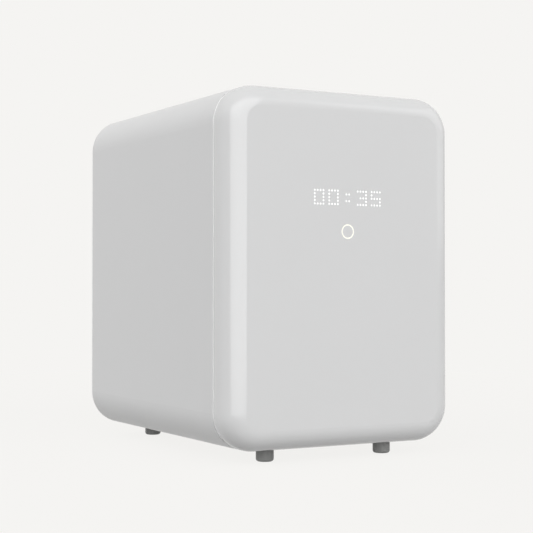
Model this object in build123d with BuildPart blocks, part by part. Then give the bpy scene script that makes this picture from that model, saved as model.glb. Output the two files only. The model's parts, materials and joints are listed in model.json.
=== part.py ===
"""Front-opening UV cabinet steriliser for baby bottles: casing, hinged door, lamp modules, racks and fan.

The front faces -Y, +X is to the right as seen from the front and +Z is up. The origin lies on the floor
under the middle of the cabinet. All sizes are in millimetres.
"""

from build123d import *
import os

# Driving dimensions of the cabinet
BODY_WIDTH = 290.0
BODY_DEPTH = 385.0
BODY_HEIGHT = 389.0
FOOT_HEIGHT = 14.5
CORNER_R = 41.0
FRONT_EDGE_R = 23.0
REAR_EDGE_R = 10.0
WALL = 3.0
DOOR_WALL = 2.5
DOOR_DEPTH = 31.5
SEAM_GAP = 1.4
SEAM_EDGE_R = 0.6
CASING_LIP_FACE = 2.0
CASING_LIP_SIDE = 1.3

# Front frame, stainless chamber and the panel behind the door
FRAME_RECESS = 1.0
FRAME_THICK = 4.0
SIDE_SPACE = 31.5
FLOOR_SPACE = 36.0
TOP_SPACE = 37.0
REAR_SPACE = 77.1
CHAMBER_CORNER_R = 14.0
LINER_WALL = 1.0
LINER_FLANGE = 4.0
AIR_SLOT_WIDTH = 4.0
OUTLET_SLOTS = 8
OUTLET_SLOT_PITCH = 10.0
OUTLET_SLOT_INSET = 8.0
RETURN_SLOTS = 5
RETURN_SLOT_LENGTH = 26.0
RETURN_SLOT_PITCH = 34.0
RETURN_SLOT_LIFT = 16.0
PANEL_THICK = 2.5
PANEL_RECESS = 1.0
REFLECTOR_THICK = 0.8
REFLECTOR_INSET = 2.0
GASKET_WIDTH = 4.4
GASKET_OFFSET = 0.6
GASKET_GROOVE = 1.0
SEAL_CLEARANCE = 0.3
GASKET_CLEARANCE = 0.1
SLIP = 0.2

# Hinge: a bent strip with a rolled knuckle at its end, and a pin in two bushes
HINGE_INSET = 8.0
HINGE_BACKSET = 11.0
HINGE_LIFT = 64.0
PIN_R = 2.0
KNUCKLE_R = 3.6
KNUCKLE_HEIGHT = 14.0
STRIP_THICK = 2.5
STRIP_REACH = 13.6
STRIP_TAIL = 27.0
HINGE_BLOCK_DEPTH = 28.0
HINGE_BLOCK_MARGIN = 2.0
HINGE_BLOCK_REACH = 6.0
HINGE_SLOT_CLEARANCE = 1.0
NOTCH_CLEARANCE = 0.8
HINGE_SCREW_SPOTS = (9.0, 21.0)
HINGE_SCREW_LENGTH = 12.0
BUSH_R = 3.2
BUSH_LENGTH = 9.0
BUSH_FLANGE = 0.5
BUSH_FLANGE_R = 4.4
PIN_CHAMFER = 0.4
SWING_CLEARANCE = 0.7
RUNNING_CLEARANCE = 0.05
STEEL_GAP = 0.3

# Magnetic push latch at the free side
LATCH_INSET = 11.0
LATCH_BODY_R = 5.0
LATCH_LENGTH = 38.0
LATCH_BLOCK_DEPTH = 23.0
LATCH_BLOCK_WALL = 2.0
LATCH_END_WALL = 2.0
LATCH_GAP = 0.3
PLUNGER_R = 2.6
PLUNGER_LENGTH = 24.0
LATCH_MAGNET_THICK = 3.0
STRIKE_R = 6.0
STRIKE_THICK = 0.8

# Display, power key and their board
DOT_PITCH = 3.65
DOT_R = 1.15
DOT_ROWS = 5
READOUT_DROP = 117.5
READOUT_X = 2.6
KEY_DROP = 36.8
RING_OUTER_R = 8.0
RING_WIDTH = 1.4
KEY_CLEARANCE = 0.15
KEY_THICK = 3.0
KEY_TRAVEL = 0.6
BOARD_THICK = 1.6
DISPLAY_BOARD_BACK = 8.0
LIT_DIGITS = ("0", "0", ":", "3", "5")
GLYPHS = {
    "0": ("XXXX", "X..X", "X..X", "X..X", "XXXX"),
    "3": ("XXXX", "...X", ".XXX", "...X", "XXXX"),
    "5": ("XXXX", "X...", "XXXX", "...X", "XXXX"),
    ":": ("....", ".XX.", "....", ".XX.", "...."),
}
GUIDE_LENGTH = 4.5
MATRIX_SIZE = (88.0, 19.5)
DISPLAY_BOARD_SIZE = (104.0, 74.0)
BOARD_SCREW_INSET = 5.0
BOARD_SCREW_LENGTH = 6.0
BOARD_HOLE_DEPTH = 5.0
BOARD_CORNER_R = 3.0
SWITCH_SIZE = 6.0
SWITCH_HEIGHT = 2.4
STEM_R = 1.8
POST_R = 3.6
PANEL_SCREW_INSET = 14.0
PANEL_SCREW_X = 64.0
PANEL_SCREW_Z = 76.0
PANEL_SCREW_LENGTH = 10.0

# Lamp modules
LAMP_WIDTH = 26.0
LAMP_HOLDER_DEPTH = 12.0
LAMP_HOLDER_MARGIN = 7.0
LAMP_HOLDER_LEDGE = 3.0
LAMP_CORNER_R = 2.0
WINDOW_SEAT = 1.0
LED_PITCH = 34.0
LED_BASE = 3.5
LED_BASE_THICK = 1.5
LED_DOME_R = 1.4
SIDE_LAMP_LENGTH = 226.0
TOP_LAMP_LENGTH = 176.0
REAR_LAMP_MARGIN = 27.0
REAR_LAMP_RISE = 7.0
LAMP_BOARD_MARGIN = 5.0
DOOR_LAMP_LENGTH = 226.0

# Racks of welded wire
RIM_WIRE_R = 2.0
GRID_WIRE_R = 1.25
GUARD_WIRE_R = 1.5
BAR_WIRE_R = 1.7
LEG_WIRE_R = 1.8
RACK_CORNER_R = 14.0
RACK_SIDE_GAP = 3.0
RACK_FRONT_GAP = 14.0
RACK_REAR_GAP = 8.0
RACK_WIRES = 12
UPPER_RACK_DROP = 130.0
LOWER_RACK_LIFT = 14.0
GUARD_HEIGHT = 16.0
GUARD_BEND_R = 7.0
LEG_BEND_R = 5.0
LEG_SPREAD = 0.6
STUD_R = 3.0
STUD_LENGTH = 9.0
STUD_SPREAD = 84.0
STUD_EDGE_R = 1.0
WELD_DEPTH = 0.4
REST_GAP = 0.1

# Air path at the back
FAN_SIZE = 92.0
FAN_THICK = 25.0
FAN_BORE_R = 43.0
FAN_HUB_R = 17.0
FAN_BLADES = 7
FAN_SHAFT_R = 1.5
FAN_SHAFT_LENGTH = 12.0
FAN_DROP = 76.0
FAN_CORNER_R = 5.0
FAN_SCREW_R = 2.2
FAN_SCREW_INSET = 5.5
FAN_ARM_WIDTH = 4.0
FAN_ARM_THICK = 3.0
FAN_ROTOR_GAP = 0.8
FAN_TIP_CLEARANCE = 1.5
FAN_FRONT_SPACE = 5.0
BEARING_WALL = 2.0
BLADE_THICK = 1.4
BLADE_ANGLE = 52.0
BLADE_ROOT = 3.0
DUCT_LENGTH = 27.0
DUCT_WALL = 2.0
HEATER_DEPTH = 14.0
HEATER_GAP = 5.0
HEATER_RIM = 4.0
HEATER_FINS = 12
HEATER_FIN_PITCH = 6.4
HEATER_FIN_THICK = 0.8
HEATER_BAR = 3.0
WELD_OVERLAP = 0.5
REAR_RIM_THICK = 6.0
REAR_PANEL_THICK = 3.0
REAR_OPENING_MARGIN = 24.0
REAR_LEDGE = 8.0
FILTER_SIZE = 100.0
FILTER_DEPTH = 18.0
FILTER_RIM = 4.5
FILTER_CORNER_R = 3.0
PLEATS = 16
PLEAT_MARGIN = 2.0
PAPER_THICK = 1.2
FILTER_COVER_SIZE = 112.0
FILTER_COVER_THICK = 4.0
FILTER_COVER_CORNER_R = 6.0
FILTER_COVER_EDGE_R = 1.0
LOUVRES = 11
LOUVRE_PITCH = 8.0
LOUVRE_SLOT = (88.0, 3.6)
POCKET_WALL = 2.0
FILTER_CLEARANCE = 0.4

# Base, boards and feet
BASE_PLATE_THICK = 2.0
BASE_PLATE_FRONT = 14.0
BASE_PLATE_REAR = 8.0
BASE_PLATE_CORNER_R = 12.0
FOOT_R = 9.8
FOOT_EDGE_R = 3.0
FOOT_SIDE_INSET = 69.0
FOOT_END_INSET = 44.5
SCREW_R = 1.5
SCREW_HEAD_R = 2.9
SCREW_HEAD_THICK = 1.6
SCREW_SLOT_WIDTH = 0.6
SCREW_SLOT_DEPTH = 0.8
INLET_SIDE_INSET = 61.0
INLET_SOCKET = (16.4, 8.6)
INLET_CORNER_R = 2.0
INLET_LIFT = 54.0
INLET_WIDTH = 24.0
INLET_HEIGHT = 17.0
INLET_DEPTH = 20.0
INLET_FLANGE = 3.0
INLET_FLANGE_THICK = 2.0
INLET_BACK_WALL = 4.0
INLET_PIN_R = 1.15
INLET_PIN_SPACING = 8.6
INLET_PIN_RECESS = 2.0
VENT_X = 24.0
VENT_LIFT = 84.0
VENT_SLOTS = 9
VENT_PITCH = 8.0
VENT_SLOT = (96.0, 3.5)
CONTROL_BOARD = (170.0, 116.0)
BOARD_CHIPS = (
    (-46.0, 18.0, 24.0, 24.0, 3.0),
    (-14.0, -20.0, 18.0, 12.0, 2.5),
    (38.0, 22.0, 34.0, 20.0, 9.0),
    (50.0, -24.0, 22.0, 16.0, 7.0),
    (4.0, 28.0, 12.0, 12.0, 4.0),
)
BOARD_CANS = ((-62.0, -30.0), (-50.0, -30.0), (12.0, -30.0))
CAN_R = 4.0
CAN_HEIGHT = 9.0
BOARD_EDGE = 6.0
STANDOFF_HEIGHT = 8.0
STANDOFF_R = 3.2
SUPPORT_WIDTH = 150.0
SUPPORT_DEPTH = 22.0
SUPPORT_SPREAD = 96.0
SUPPORT_LEG = 12.0
SUPPORT_SHEET = 2.0
SUPPLY_SIZE = (102.0, 38.0, 56.0)
SUPPLY_X = 43.0
SUPPLY_GAP = 12.0
SUPPLY_CORNER_R = 3.0
SUPPLY_SLOTS = 5
SUPPLY_SLOT_PITCH = 6.0
SUPPLY_SLOT = (26.0, 2.4)
SUPPLY_SLOT_DEPTH = 1.5
FOOT_SCREW_SEAT = 5.0

# Places worked out from the sizes above
Y_FRONT = -BODY_DEPTH / 2
Y_BACK = BODY_DEPTH / 2
Z_BOTTOM = FOOT_HEIGHT
Z_TOP = Z_BOTTOM + BODY_HEIGHT
Z_MIDDLE = (Z_BOTTOM + Z_TOP) / 2
DOOR_BACK_Y = Y_FRONT + DOOR_DEPTH
CASING_FRONT_Y = DOOR_BACK_Y + SEAM_GAP
FRAME_FRONT_Y = CASING_FRONT_Y + FRAME_RECESS
FRAME_BACK_Y = FRAME_FRONT_Y + FRAME_THICK
PANEL_BACK_Y = DOOR_BACK_Y - PANEL_RECESS
PANEL_FRONT_Y = PANEL_BACK_Y - PANEL_THICK
CHAMBER_REAR_Y = Y_BACK - REAR_SPACE
CHAMBER_FLOOR_Z = Z_BOTTOM + FLOOR_SPACE
CHAMBER_TOP_Z = Z_TOP - TOP_SPACE
CHAMBER_WIDTH = BODY_WIDTH - 2 * SIDE_SPACE
CHAMBER_DEPTH = CHAMBER_REAR_Y - FRAME_BACK_Y
CHAMBER_HEIGHT = CHAMBER_TOP_Z - CHAMBER_FLOOR_Z
CHAMBER_MIDDLE_Z = (CHAMBER_FLOOR_Z + CHAMBER_TOP_Z) / 2
CHAMBER_MIDDLE_Y = (FRAME_BACK_Y + CHAMBER_REAR_Y) / 2
CASING_FLOOR_Z = Z_BOTTOM + WALL
HINGE_X = BODY_WIDTH / 2 - HINGE_INSET
HINGE_Y = DOOR_BACK_Y - HINGE_BACKSET
HINGE_HEIGHTS = (Z_BOTTOM + HINGE_LIFT, Z_TOP - HINGE_LIFT)
STRIP_X = HINGE_X - STRIP_REACH
DISPLAY_HEIGHT = Z_TOP - READOUT_DROP
KEY_HEIGHT = DISPLAY_HEIGHT - KEY_DROP
UPPER_RACK_Z = CHAMBER_TOP_Z - UPPER_RACK_DROP
LOWER_RACK_Z = CHAMBER_FLOOR_Z + LOWER_RACK_LIFT
FAN_Z = CHAMBER_TOP_Z - FAN_DROP
DUCT_UNDERSIDE_Z = FAN_Z - FAN_SIZE / 2
REAR_LAMP_LENGTH = DUCT_UNDERSIDE_Z - CHAMBER_FLOOR_Z - 2 * REAR_LAMP_MARGIN
REAR_LAMP_Z = (DUCT_UNDERSIDE_Z + CHAMBER_FLOOR_Z) / 2 + REAR_LAMP_RISE
DUCT_FRONT_Y = CHAMBER_REAR_Y + LINER_WALL
FAN_FRONT_Y = DUCT_FRONT_Y + DUCT_LENGTH
FAN_BACK_Y = FAN_FRONT_Y + FAN_THICK
REAR_PANEL_Y = Y_BACK - REAR_PANEL_THICK
FILTER_BACK_Y = Y_BACK - FILTER_COVER_THICK
FILTER_FRONT_Y = FILTER_BACK_Y - FILTER_DEPTH
BASE_TOP_Z = CASING_FLOOR_Z + BASE_PLATE_THICK
INLET_X = INLET_SIDE_INSET - BODY_WIDTH / 2
INLET_Z = Z_BOTTOM + INLET_LIFT
SUPPORT_YS = (CHAMBER_MIDDLE_Y - SUPPORT_SPREAD, CHAMBER_MIDDLE_Y + SUPPORT_SPREAD)
FRAME_OUTER_INSET = WALL + SLIP
LATCH_X = -(BODY_WIDTH / 2 - LATCH_INSET)


def front_plane(y):
    """Upright plane at depth y: sketch X is the cabinet's X, sketch Y its Z, and extrusion goes forward."""
    return Plane(origin=(0, y, 0), x_dir=(1, 0, 0), z_dir=(0, -1, 0))


def side_plane(x):
    """Upright plane at width x: sketch X is the cabinet's Y, sketch Y its Z, and extrusion goes right."""
    return Plane(origin=(x, 0, 0), x_dir=(0, 1, 0), z_dir=(1, 0, 0))


def both_sides(value):
    """The value on each side of the middle."""
    return (-value, value)


def upright_block(x_range, y_range, z_range):
    """Adds a block between the given limits to the current part."""
    sizes = [high - low for low, high in (x_range, y_range, z_range)]
    middle = [(low + high) / 2 for low, high in (x_range, y_range, z_range)]
    with Locations(tuple(middle)):
        Box(*sizes)


def body_outline(inset):
    """Adds the cabinet's rounded front outline, drawn in by inset, to the current sketch."""
    with Locations((0, Z_MIDDLE)):
        RectangleRounded(BODY_WIDTH - 2 * inset, BODY_HEIGHT - 2 * inset, CORNER_R - inset)


def mouth_outline(grow=0.0):
    """Adds the chamber's rounded mouth, larger by grow on every side, to the current sketch."""
    with Locations((0, CHAMBER_MIDDLE_Z)):
        RectangleRounded(CHAMBER_WIDTH + 2 * grow, CHAMBER_HEIGHT + 2 * grow, CHAMBER_CORNER_R + grow)


def save(builder, name):
    """Labels a finished piece and writes it as one STEP file."""
    builder.part.label = name
    export_step(builder.part, f"parts/{name}.step")


# Casing

REAR_OPENING = (BODY_WIDTH - 2 * REAR_OPENING_MARGIN, BODY_HEIGHT - 2 * REAR_OPENING_MARGIN)
REAR_OPENING_R = CORNER_R - REAR_OPENING_MARGIN / 2
REAR_SCREWS = [
    (x, Z_MIDDLE + z)
    for x in both_sides((REAR_OPENING[0] - REAR_LEDGE) / 2)
    for z in (-REAR_OPENING[1] / 3, 0, REAR_OPENING[1] / 3)
]
FEET = [
    (x, y)
    for x in both_sides(BODY_WIDTH / 2 - FOOT_SIDE_INSET)
    for y in both_sides(BODY_DEPTH / 2 - FOOT_END_INSET)
]


def make_outer_casing():
    with BuildPart() as casing:
        with BuildSketch(front_plane(Y_BACK)):
            body_outline(0)
        extrude(amount=Y_BACK - CASING_FRONT_Y)
        fillet(casing.faces().sort_by(Axis.Y)[-1].edges(), REAR_EDGE_R)
        seam_face = casing.faces().sort_by(Axis.Y)[0]
        chamfer(seam_face.edges(), CASING_LIP_FACE, CASING_LIP_SIDE, reference=seam_face)
        with BuildSketch(front_plane(Y_BACK - REAR_RIM_THICK)):
            body_outline(WALL)
        extrude(amount=BODY_DEPTH, mode=Mode.SUBTRACT)
        with BuildSketch(front_plane(Y_BACK)):
            with Locations((0, Z_MIDDLE)):
                RectangleRounded(*REAR_OPENING, REAR_OPENING_R)
        extrude(amount=REAR_PANEL_THICK, mode=Mode.SUBTRACT)
        with BuildSketch(front_plane(Y_BACK)):
            with Locations((0, Z_MIDDLE)):
                RectangleRounded(
                    REAR_OPENING[0] - 2 * REAR_LEDGE,
                    REAR_OPENING[1] - 2 * REAR_LEDGE,
                    REAR_OPENING_R - REAR_LEDGE,
                )
        extrude(amount=REAR_RIM_THICK, mode=Mode.SUBTRACT)
        with BuildSketch(front_plane(Y_BACK)):
            with Locations(*REAR_SCREWS):
                Circle(SCREW_R)
        extrude(amount=REAR_RIM_THICK, mode=Mode.SUBTRACT)
        with BuildSketch(Plane.XY):
            with Locations(*FEET):
                Circle(SCREW_R)
        extrude(amount=BASE_TOP_Z, mode=Mode.SUBTRACT)
    save(casing, "outer_casing")


def make_front_frame():
    """Moulded ring between the casing and the chamber's mouth, with blocks that carry hinge and latch."""
    block_outer_x = BODY_WIDTH / 2 - FRAME_OUTER_INSET
    strip_right_x = STRIP_X + STRIP_THICK / 2
    latch_block = LATCH_BODY_R + LATCH_BLOCK_WALL
    hinge_block = KNUCKLE_HEIGHT / 2 + HINGE_BLOCK_MARGIN
    with BuildPart() as frame:
        with BuildSketch(front_plane(FRAME_BACK_Y)):
            body_outline(FRAME_OUTER_INSET)
            with Locations((0, CHAMBER_MIDDLE_Z)):
                RectangleRounded(CHAMBER_WIDTH, CHAMBER_HEIGHT, CHAMBER_CORNER_R, mode=Mode.SUBTRACT)
        extrude(amount=FRAME_THICK)
        for z in HINGE_HEIGHTS:
            upright_block(
                (strip_right_x, block_outer_x),
                (FRAME_BACK_Y, FRAME_BACK_Y + HINGE_BLOCK_DEPTH),
                (z - hinge_block, z + hinge_block),
            )
        upright_block(
            (LATCH_X - latch_block, LATCH_X + latch_block),
            (FRAME_BACK_Y, FRAME_BACK_Y + LATCH_BLOCK_DEPTH),
            (Z_MIDDLE - latch_block, Z_MIDDLE + latch_block),
        )
        for z in HINGE_HEIGHTS:
            with BuildSketch(front_plane(FRAME_BACK_Y)):
                with Locations((STRIP_X, z)):
                    Rectangle(
                        STRIP_THICK + 2 * HINGE_SLOT_CLEARANCE, KNUCKLE_HEIGHT + 2 * HINGE_SLOT_CLEARANCE
                    )
            extrude(amount=FRAME_THICK, mode=Mode.SUBTRACT)
            with BuildSketch(side_plane(strip_right_x)):
                with Locations(*hinge_screw_places(z)):
                    Circle(SCREW_R)
            extrude(amount=block_outer_x - strip_right_x, mode=Mode.SUBTRACT)
        with BuildSketch(front_plane(FRAME_FRONT_Y + LATCH_LENGTH)):
            with Locations((LATCH_X, Z_MIDDLE)):
                Circle(LATCH_BODY_R)
        extrude(amount=LATCH_LENGTH, mode=Mode.SUBTRACT)
    save(frame, "front_frame")


def make_chamber_liner():
    """Stainless box with an outward lip at its mouth, lamp openings, air slots and holes for the studs."""
    with BuildPart() as liner:
        with BuildSketch(front_plane(CHAMBER_REAR_Y + LINER_WALL)):
            mouth_outline(LINER_WALL)
        extrude(amount=CHAMBER_DEPTH + LINER_WALL)
        with BuildSketch(front_plane(FRAME_BACK_Y + LINER_WALL)):
            mouth_outline(LINER_FLANGE)
        extrude(amount=LINER_WALL)
        with BuildSketch(front_plane(CHAMBER_REAR_Y)):
            mouth_outline()
        extrude(amount=CHAMBER_DEPTH, mode=Mode.SUBTRACT)
        for wall, length in CHAMBER_LAMPS.values():
            with BuildSketch(wall):
                Rectangle(length + 2 * SLIP, LAMP_WIDTH + 2 * SLIP)
            extrude(amount=LINER_WALL, mode=Mode.SUBTRACT)
        with BuildSketch(front_plane(CHAMBER_REAR_Y + LINER_WALL)):
            with Locations((0, FAN_Z)):
                with GridLocations(0, OUTLET_SLOT_PITCH, 1, OUTLET_SLOTS):
                    SlotOverall(FAN_SIZE - 2 * OUTLET_SLOT_INSET, AIR_SLOT_WIDTH)
            with Locations((0, CHAMBER_FLOOR_Z + RETURN_SLOT_LIFT)):
                with GridLocations(RETURN_SLOT_PITCH, 0, RETURN_SLOTS, 1):
                    SlotOverall(RETURN_SLOT_LENGTH, AIR_SLOT_WIDTH)
        extrude(amount=LINER_WALL, mode=Mode.SUBTRACT)
    save(liner, "chamber_liner")


def make_rear_panel():
    """Flat cover in the casing's rear opening, with the filter's pocket, vents and the inlet's opening."""
    cover = FILTER_COVER_SIZE + 2 * FILTER_CLEARANCE
    pocket = FILTER_SIZE + 2 * FILTER_CLEARANCE
    with BuildPart() as panel:
        with BuildSketch(front_plane(Y_BACK)):
            with Locations((0, Z_MIDDLE)):
                RectangleRounded(
                    REAR_OPENING[0] - 2 * SLIP, REAR_OPENING[1] - 2 * SLIP, REAR_OPENING_R - SLIP
                )
        extrude(amount=REAR_PANEL_THICK)
        with BuildSketch(front_plane(REAR_PANEL_Y)):
            with Locations((0, FAN_Z)):
                RectangleRounded(
                    cover + 2 * POCKET_WALL, cover + 2 * POCKET_WALL, FILTER_COVER_CORNER_R + POCKET_WALL
                )
        extrude(amount=FILTER_COVER_THICK - REAR_PANEL_THICK + POCKET_WALL)
        with BuildSketch(front_plane(FILTER_BACK_Y)):
            with Locations((0, FAN_Z)):
                RectangleRounded(
                    pocket + 2 * POCKET_WALL, pocket + 2 * POCKET_WALL, FILTER_CORNER_R + POCKET_WALL
                )
        extrude(amount=FILTER_BACK_Y - FAN_BACK_Y - SLIP)
        with BuildSketch(front_plane(Y_BACK)):
            with Locations((0, FAN_Z)):
                RectangleRounded(cover, cover, FILTER_COVER_CORNER_R)
        extrude(amount=FILTER_COVER_THICK + FILTER_CLEARANCE, mode=Mode.SUBTRACT)
        with BuildSketch(front_plane(Y_BACK)):
            with Locations((0, FAN_Z)):
                RectangleRounded(pocket, pocket, FILTER_CORNER_R)
        extrude(amount=FILTER_COVER_THICK + FILTER_DEPTH + FILTER_CLEARANCE, mode=Mode.SUBTRACT)
        with BuildSketch(front_plane(Y_BACK)):
            with Locations((0, FAN_Z)):
                Circle(FAN_BORE_R)
        extrude(amount=BODY_DEPTH / 4, mode=Mode.SUBTRACT)
        with BuildSketch(front_plane(Y_BACK)):
            with Locations((VENT_X, Z_BOTTOM + VENT_LIFT)):
                with GridLocations(0, VENT_PITCH, 1, VENT_SLOTS):
                    SlotOverall(*VENT_SLOT)
            with Locations((INLET_X, INLET_Z)):
                Rectangle(INLET_WIDTH + 2 * SLIP, INLET_HEIGHT + 2 * SLIP)
        extrude(amount=REAR_PANEL_THICK, mode=Mode.SUBTRACT)
        with Locations(*[Location((x, Y_BACK, z), (-90, 0, 0)) for x, z in REAR_SCREWS]):
            CounterSinkHole(SCREW_R + SLIP, SCREW_HEAD_R, depth=REAR_PANEL_THICK)
    save(panel, "rear_panel")


# Fasteners


def countersunk_screws(places, length):
    """Cross-recessed flat-head screws at locations whose Z points out of the head. Returns the part."""
    head_depth = SCREW_HEAD_R - SCREW_R
    with BuildPart() as screw:
        with BuildSketch(Plane.XZ):
            with BuildLine():
                Polyline(
                    (0, 0),
                    (SCREW_HEAD_R - SLIP, 0),
                    (SCREW_R, -head_depth + SLIP),
                    (SCREW_R, -length),
                    (0, -length),
                    close=True,
                )
            make_face()
        revolve(axis=Axis.Z)
        with BuildSketch(Plane.XY):
            Rectangle(SCREW_HEAD_R, SCREW_SLOT_WIDTH)
            Rectangle(SCREW_SLOT_WIDTH, SCREW_HEAD_R)
        extrude(amount=-SCREW_SLOT_DEPTH, mode=Mode.SUBTRACT)
    with BuildPart() as group:
        with Locations(*places):
            add(screw.part)
    return group


def pan_screws(places, length):
    """Cross-recessed pan-head screws at locations whose Z points out of the head. Returns the part."""
    with BuildPart() as screw:
        Cylinder(SCREW_R, length, align=(Align.CENTER, Align.CENTER, Align.MAX))
        Cylinder(SCREW_HEAD_R, SCREW_HEAD_THICK, align=(Align.CENTER, Align.CENTER, Align.MIN))
        fillet(screw.faces().sort_by(Axis.Z)[-1].edges(), 0.6)
        with BuildSketch(Plane.XY.offset(SCREW_HEAD_THICK)):
            Rectangle(SCREW_HEAD_R, SCREW_SLOT_WIDTH)
            Rectangle(SCREW_SLOT_WIDTH, SCREW_HEAD_R)
        extrude(amount=-SCREW_SLOT_DEPTH, mode=Mode.SUBTRACT)
    with BuildPart() as group:
        with Locations(*places):
            add(screw.part)
    return group


def hinge_screw_places(z):
    """Places of one hinge strip's screws, as depth and height."""
    return [(FRAME_BACK_Y + spot, z) for spot in HINGE_SCREW_SPOTS]


def make_body_screws():
    rear = [Location((x, Y_BACK - SLIP, z), (-90, 0, 0)) for x, z in REAR_SCREWS]
    save(countersunk_screws(rear, REAR_RIM_THICK), "rear_panel_screws")
    left_face = STRIP_X - STRIP_THICK / 2
    hinge_spots = [spot for z in HINGE_HEIGHTS for spot in hinge_screw_places(z)]
    hinge = [Location((left_face, y, z), (0, -90, 0)) for y, z in hinge_spots]
    save(pan_screws(hinge, HINGE_SCREW_LENGTH), "hinge_screws")
    feet = [Location((x, y, FOOT_SCREW_SEAT), (180, 0, 0)) for x, y in FEET]
    save(pan_screws(feet, BASE_TOP_Z - FOOT_SCREW_SEAT), "foot_screws")


# Base, feet and electronics


def make_feet():
    """Four round feet, each with a counterbored screw hole from below."""
    with BuildPart() as foot:
        with BuildSketch(Plane.XY):
            Circle(FOOT_R)
        extrude(amount=FOOT_HEIGHT)
        fillet(foot.faces().sort_by(Axis.Z)[0].edges(), FOOT_EDGE_R)
        with BuildSketch(Plane.XY):
            Circle(SCREW_HEAD_R + SLIP)
        extrude(amount=FOOT_SCREW_SEAT, mode=Mode.SUBTRACT)
        with BuildSketch(Plane.XY):
            Circle(SCREW_R)
        extrude(amount=FOOT_HEIGHT, mode=Mode.SUBTRACT)
    with BuildPart() as feet:
        with Locations(*[(x, y, 0) for x, y in FEET]):
            add(foot.part)
    save(feet, "rubber_feet")


def make_base():
    plate_x = BODY_WIDTH / 2 - CORNER_R - 1
    plate_y = (CASING_FRONT_Y + BASE_PLATE_FRONT, Y_BACK - REAR_RIM_THICK - BASE_PLATE_REAR)
    with BuildPart() as plate:
        upright_block(both_sides(plate_x), plate_y, (CASING_FLOOR_Z, BASE_TOP_Z))
        fillet(plate.edges().filter_by(Axis.Z), BASE_PLATE_CORNER_R)
        with BuildSketch(Plane.XY):
            with Locations(*FEET):
                Circle(SCREW_R)
        extrude(amount=BASE_TOP_Z, mode=Mode.SUBTRACT)
    save(plate, "base_plate")
    support_top = CHAMBER_FLOOR_Z - LINER_WALL
    with BuildPart() as supports:
        for y in SUPPORT_YS:
            y_range = (y - SUPPORT_DEPTH / 2, y + SUPPORT_DEPTH / 2)
            upright_block(both_sides(SUPPORT_WIDTH / 2), y_range, (BASE_TOP_Z, support_top))
        for y in SUPPORT_YS:
            with BuildSketch(front_plane(y + SUPPORT_DEPTH / 2)):
                with Locations((0, BASE_TOP_Z)):
                    Rectangle(
                        SUPPORT_WIDTH - 2 * SUPPORT_LEG,
                        2 * (support_top - SUPPORT_SHEET - BASE_TOP_Z),
                    )
            extrude(amount=SUPPORT_DEPTH, mode=Mode.SUBTRACT)
    save(supports, "chamber_supports")


def make_control_board():
    board_z = BASE_TOP_Z + STANDOFF_HEIGHT
    with BuildPart() as standoffs:
        with Locations((0, CHAMBER_MIDDLE_Y, BASE_TOP_Z)):
            with GridLocations(CONTROL_BOARD[0] - 2 * BOARD_EDGE, CONTROL_BOARD[1] - 2 * BOARD_EDGE, 2, 2):
                Cylinder(STANDOFF_R, STANDOFF_HEIGHT, align=(Align.CENTER, Align.CENTER, Align.MIN))
    save(standoffs, "board_standoffs")
    with BuildPart() as board:
        with Locations((0, CHAMBER_MIDDLE_Y, board_z)):
            Box(*CONTROL_BOARD, BOARD_THICK, align=(Align.CENTER, Align.CENTER, Align.MIN))
    save(board, "control_board")
    top = board_z + BOARD_THICK
    with BuildPart() as parts:
        for x, y, width, depth, height in BOARD_CHIPS:
            with Locations((x, CHAMBER_MIDDLE_Y + y, top)):
                Box(width, depth, height, align=(Align.CENTER, Align.CENTER, Align.MIN))
        for x, y in BOARD_CANS:
            with Locations((x, CHAMBER_MIDDLE_Y + y, top)):
                Cylinder(CAN_R, CAN_HEIGHT, align=(Align.CENTER, Align.CENTER, Align.MIN))
    save(parts, "board_components")


def make_power_supply():
    """Closed mains supply standing on the base plate behind the chamber, and the two-pin inlet."""
    supply_y = DUCT_FRONT_Y + SUPPLY_GAP + SUPPLY_SIZE[1] / 2
    with BuildPart() as supply:
        with Locations((SUPPLY_X, supply_y, BASE_TOP_Z)):
            Box(*SUPPLY_SIZE, align=(Align.CENTER, Align.CENTER, Align.MIN))
        fillet(supply.edges().filter_by(Axis.Z), SUPPLY_CORNER_R)
        with BuildSketch(side_plane(SUPPLY_X + SUPPLY_SIZE[0] / 2)):
            with Locations((supply_y, BASE_TOP_Z + SUPPLY_SIZE[2] / 2)):
                with GridLocations(0, SUPPLY_SLOT_PITCH, 1, SUPPLY_SLOTS):
                    SlotOverall(*SUPPLY_SLOT)
        extrude(amount=-SUPPLY_SLOT_DEPTH, mode=Mode.SUBTRACT)
    save(supply, "power_supply")
    with BuildPart() as inlet:
        with BuildSketch(front_plane(Y_BACK)):
            with Locations((INLET_X, INLET_Z)):
                RectangleRounded(INLET_WIDTH, INLET_HEIGHT, INLET_CORNER_R)
        extrude(amount=INLET_DEPTH)
        with BuildSketch(front_plane(REAR_PANEL_Y)):
            with Locations((INLET_X, INLET_Z)):
                RectangleRounded(
                    INLET_WIDTH + 2 * INLET_FLANGE, INLET_HEIGHT + 2 * INLET_FLANGE, INLET_FLANGE
                )
        extrude(amount=INLET_FLANGE_THICK)
        with BuildSketch(front_plane(Y_BACK)):
            with Locations((INLET_X, INLET_Z)):
                SlotOverall(*INLET_SOCKET)
        extrude(amount=INLET_DEPTH - INLET_BACK_WALL, mode=Mode.SUBTRACT)
    save(inlet, "mains_inlet")
    with BuildPart() as pins:
        with BuildSketch(front_plane(Y_BACK - INLET_PIN_RECESS)):
            with Locations((INLET_X, INLET_Z)):
                with GridLocations(INLET_PIN_SPACING, 0, 2, 1):
                    Circle(INLET_PIN_R)
        extrude(amount=INLET_DEPTH - INLET_BACK_WALL - INLET_PIN_RECESS)
    save(pins, "inlet_pins")


# Lamp modules: each has a clear window, a holder behind the wall, a board that closes it, and lamps


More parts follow.
